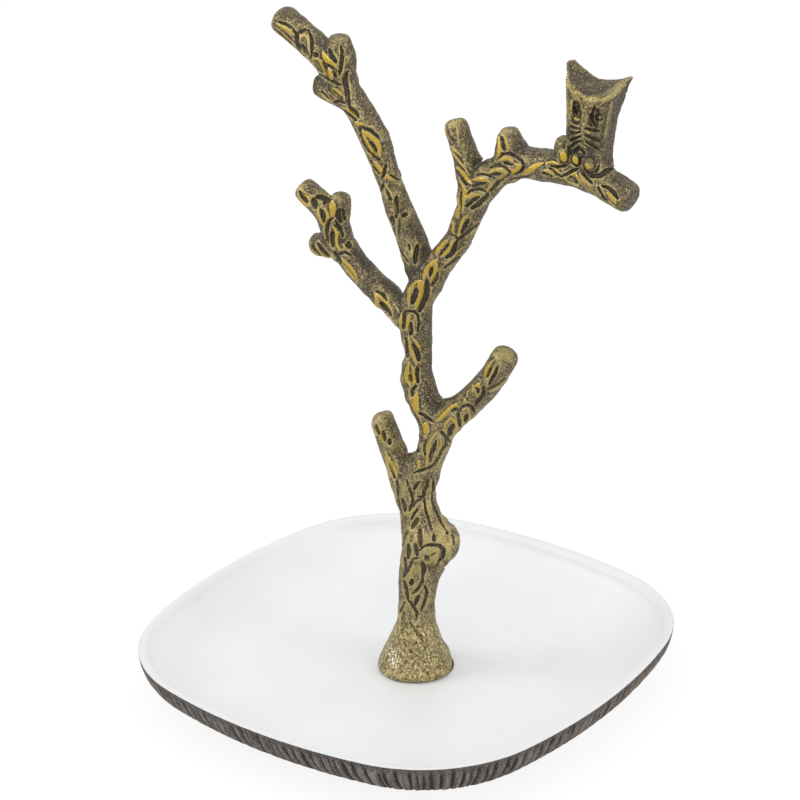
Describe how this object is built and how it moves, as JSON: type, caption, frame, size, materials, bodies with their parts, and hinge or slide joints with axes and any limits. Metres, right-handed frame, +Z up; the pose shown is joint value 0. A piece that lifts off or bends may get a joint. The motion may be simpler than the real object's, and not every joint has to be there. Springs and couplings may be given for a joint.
{
  "type": "ring tree",
  "caption": "Free-standing ring tree: a cast branching tree with a perched owl, screwed to an enamelled square dish that catches small jewellery.",
  "frame": {"origin": "on the table plane, under the middle of the dish, at the centre of the middle felt disc's lower face", "axes": "+Z up; +X to the object's right along the flat of the tree, towards the owl; -Y to the front, the way the owl faces; one unit is a metre in this record"},
  "size_m": [0.1564, 0.15, 0.2103],
  "materials": {
    "dark_cast": "dark bronze, satin, with bark-like grooves",
    "white_enamel": "glossy white enamel",
    "black_rubber": "matte black",
    "antique_brass": "antiqued: dark recesses, worn brass on the raised edges",
    "steel": "zinc plated",
    "felt": "black felt"
  },
  "bodies": {
    "root": {"dish_casting": "dark_cast", "enamel_lining": "white_enamel", "foot_gasket": "black_rubber", "tree_casting": "antique_brass", "fixing_screw": "steel", "centre_felt_disc": "felt", "corner_felt_pad_1": "felt", "corner_felt_pad_2": "felt", "corner_felt_pad_3": "felt", "corner_felt_pad_4": "felt"}
  },
  "joints": []
}
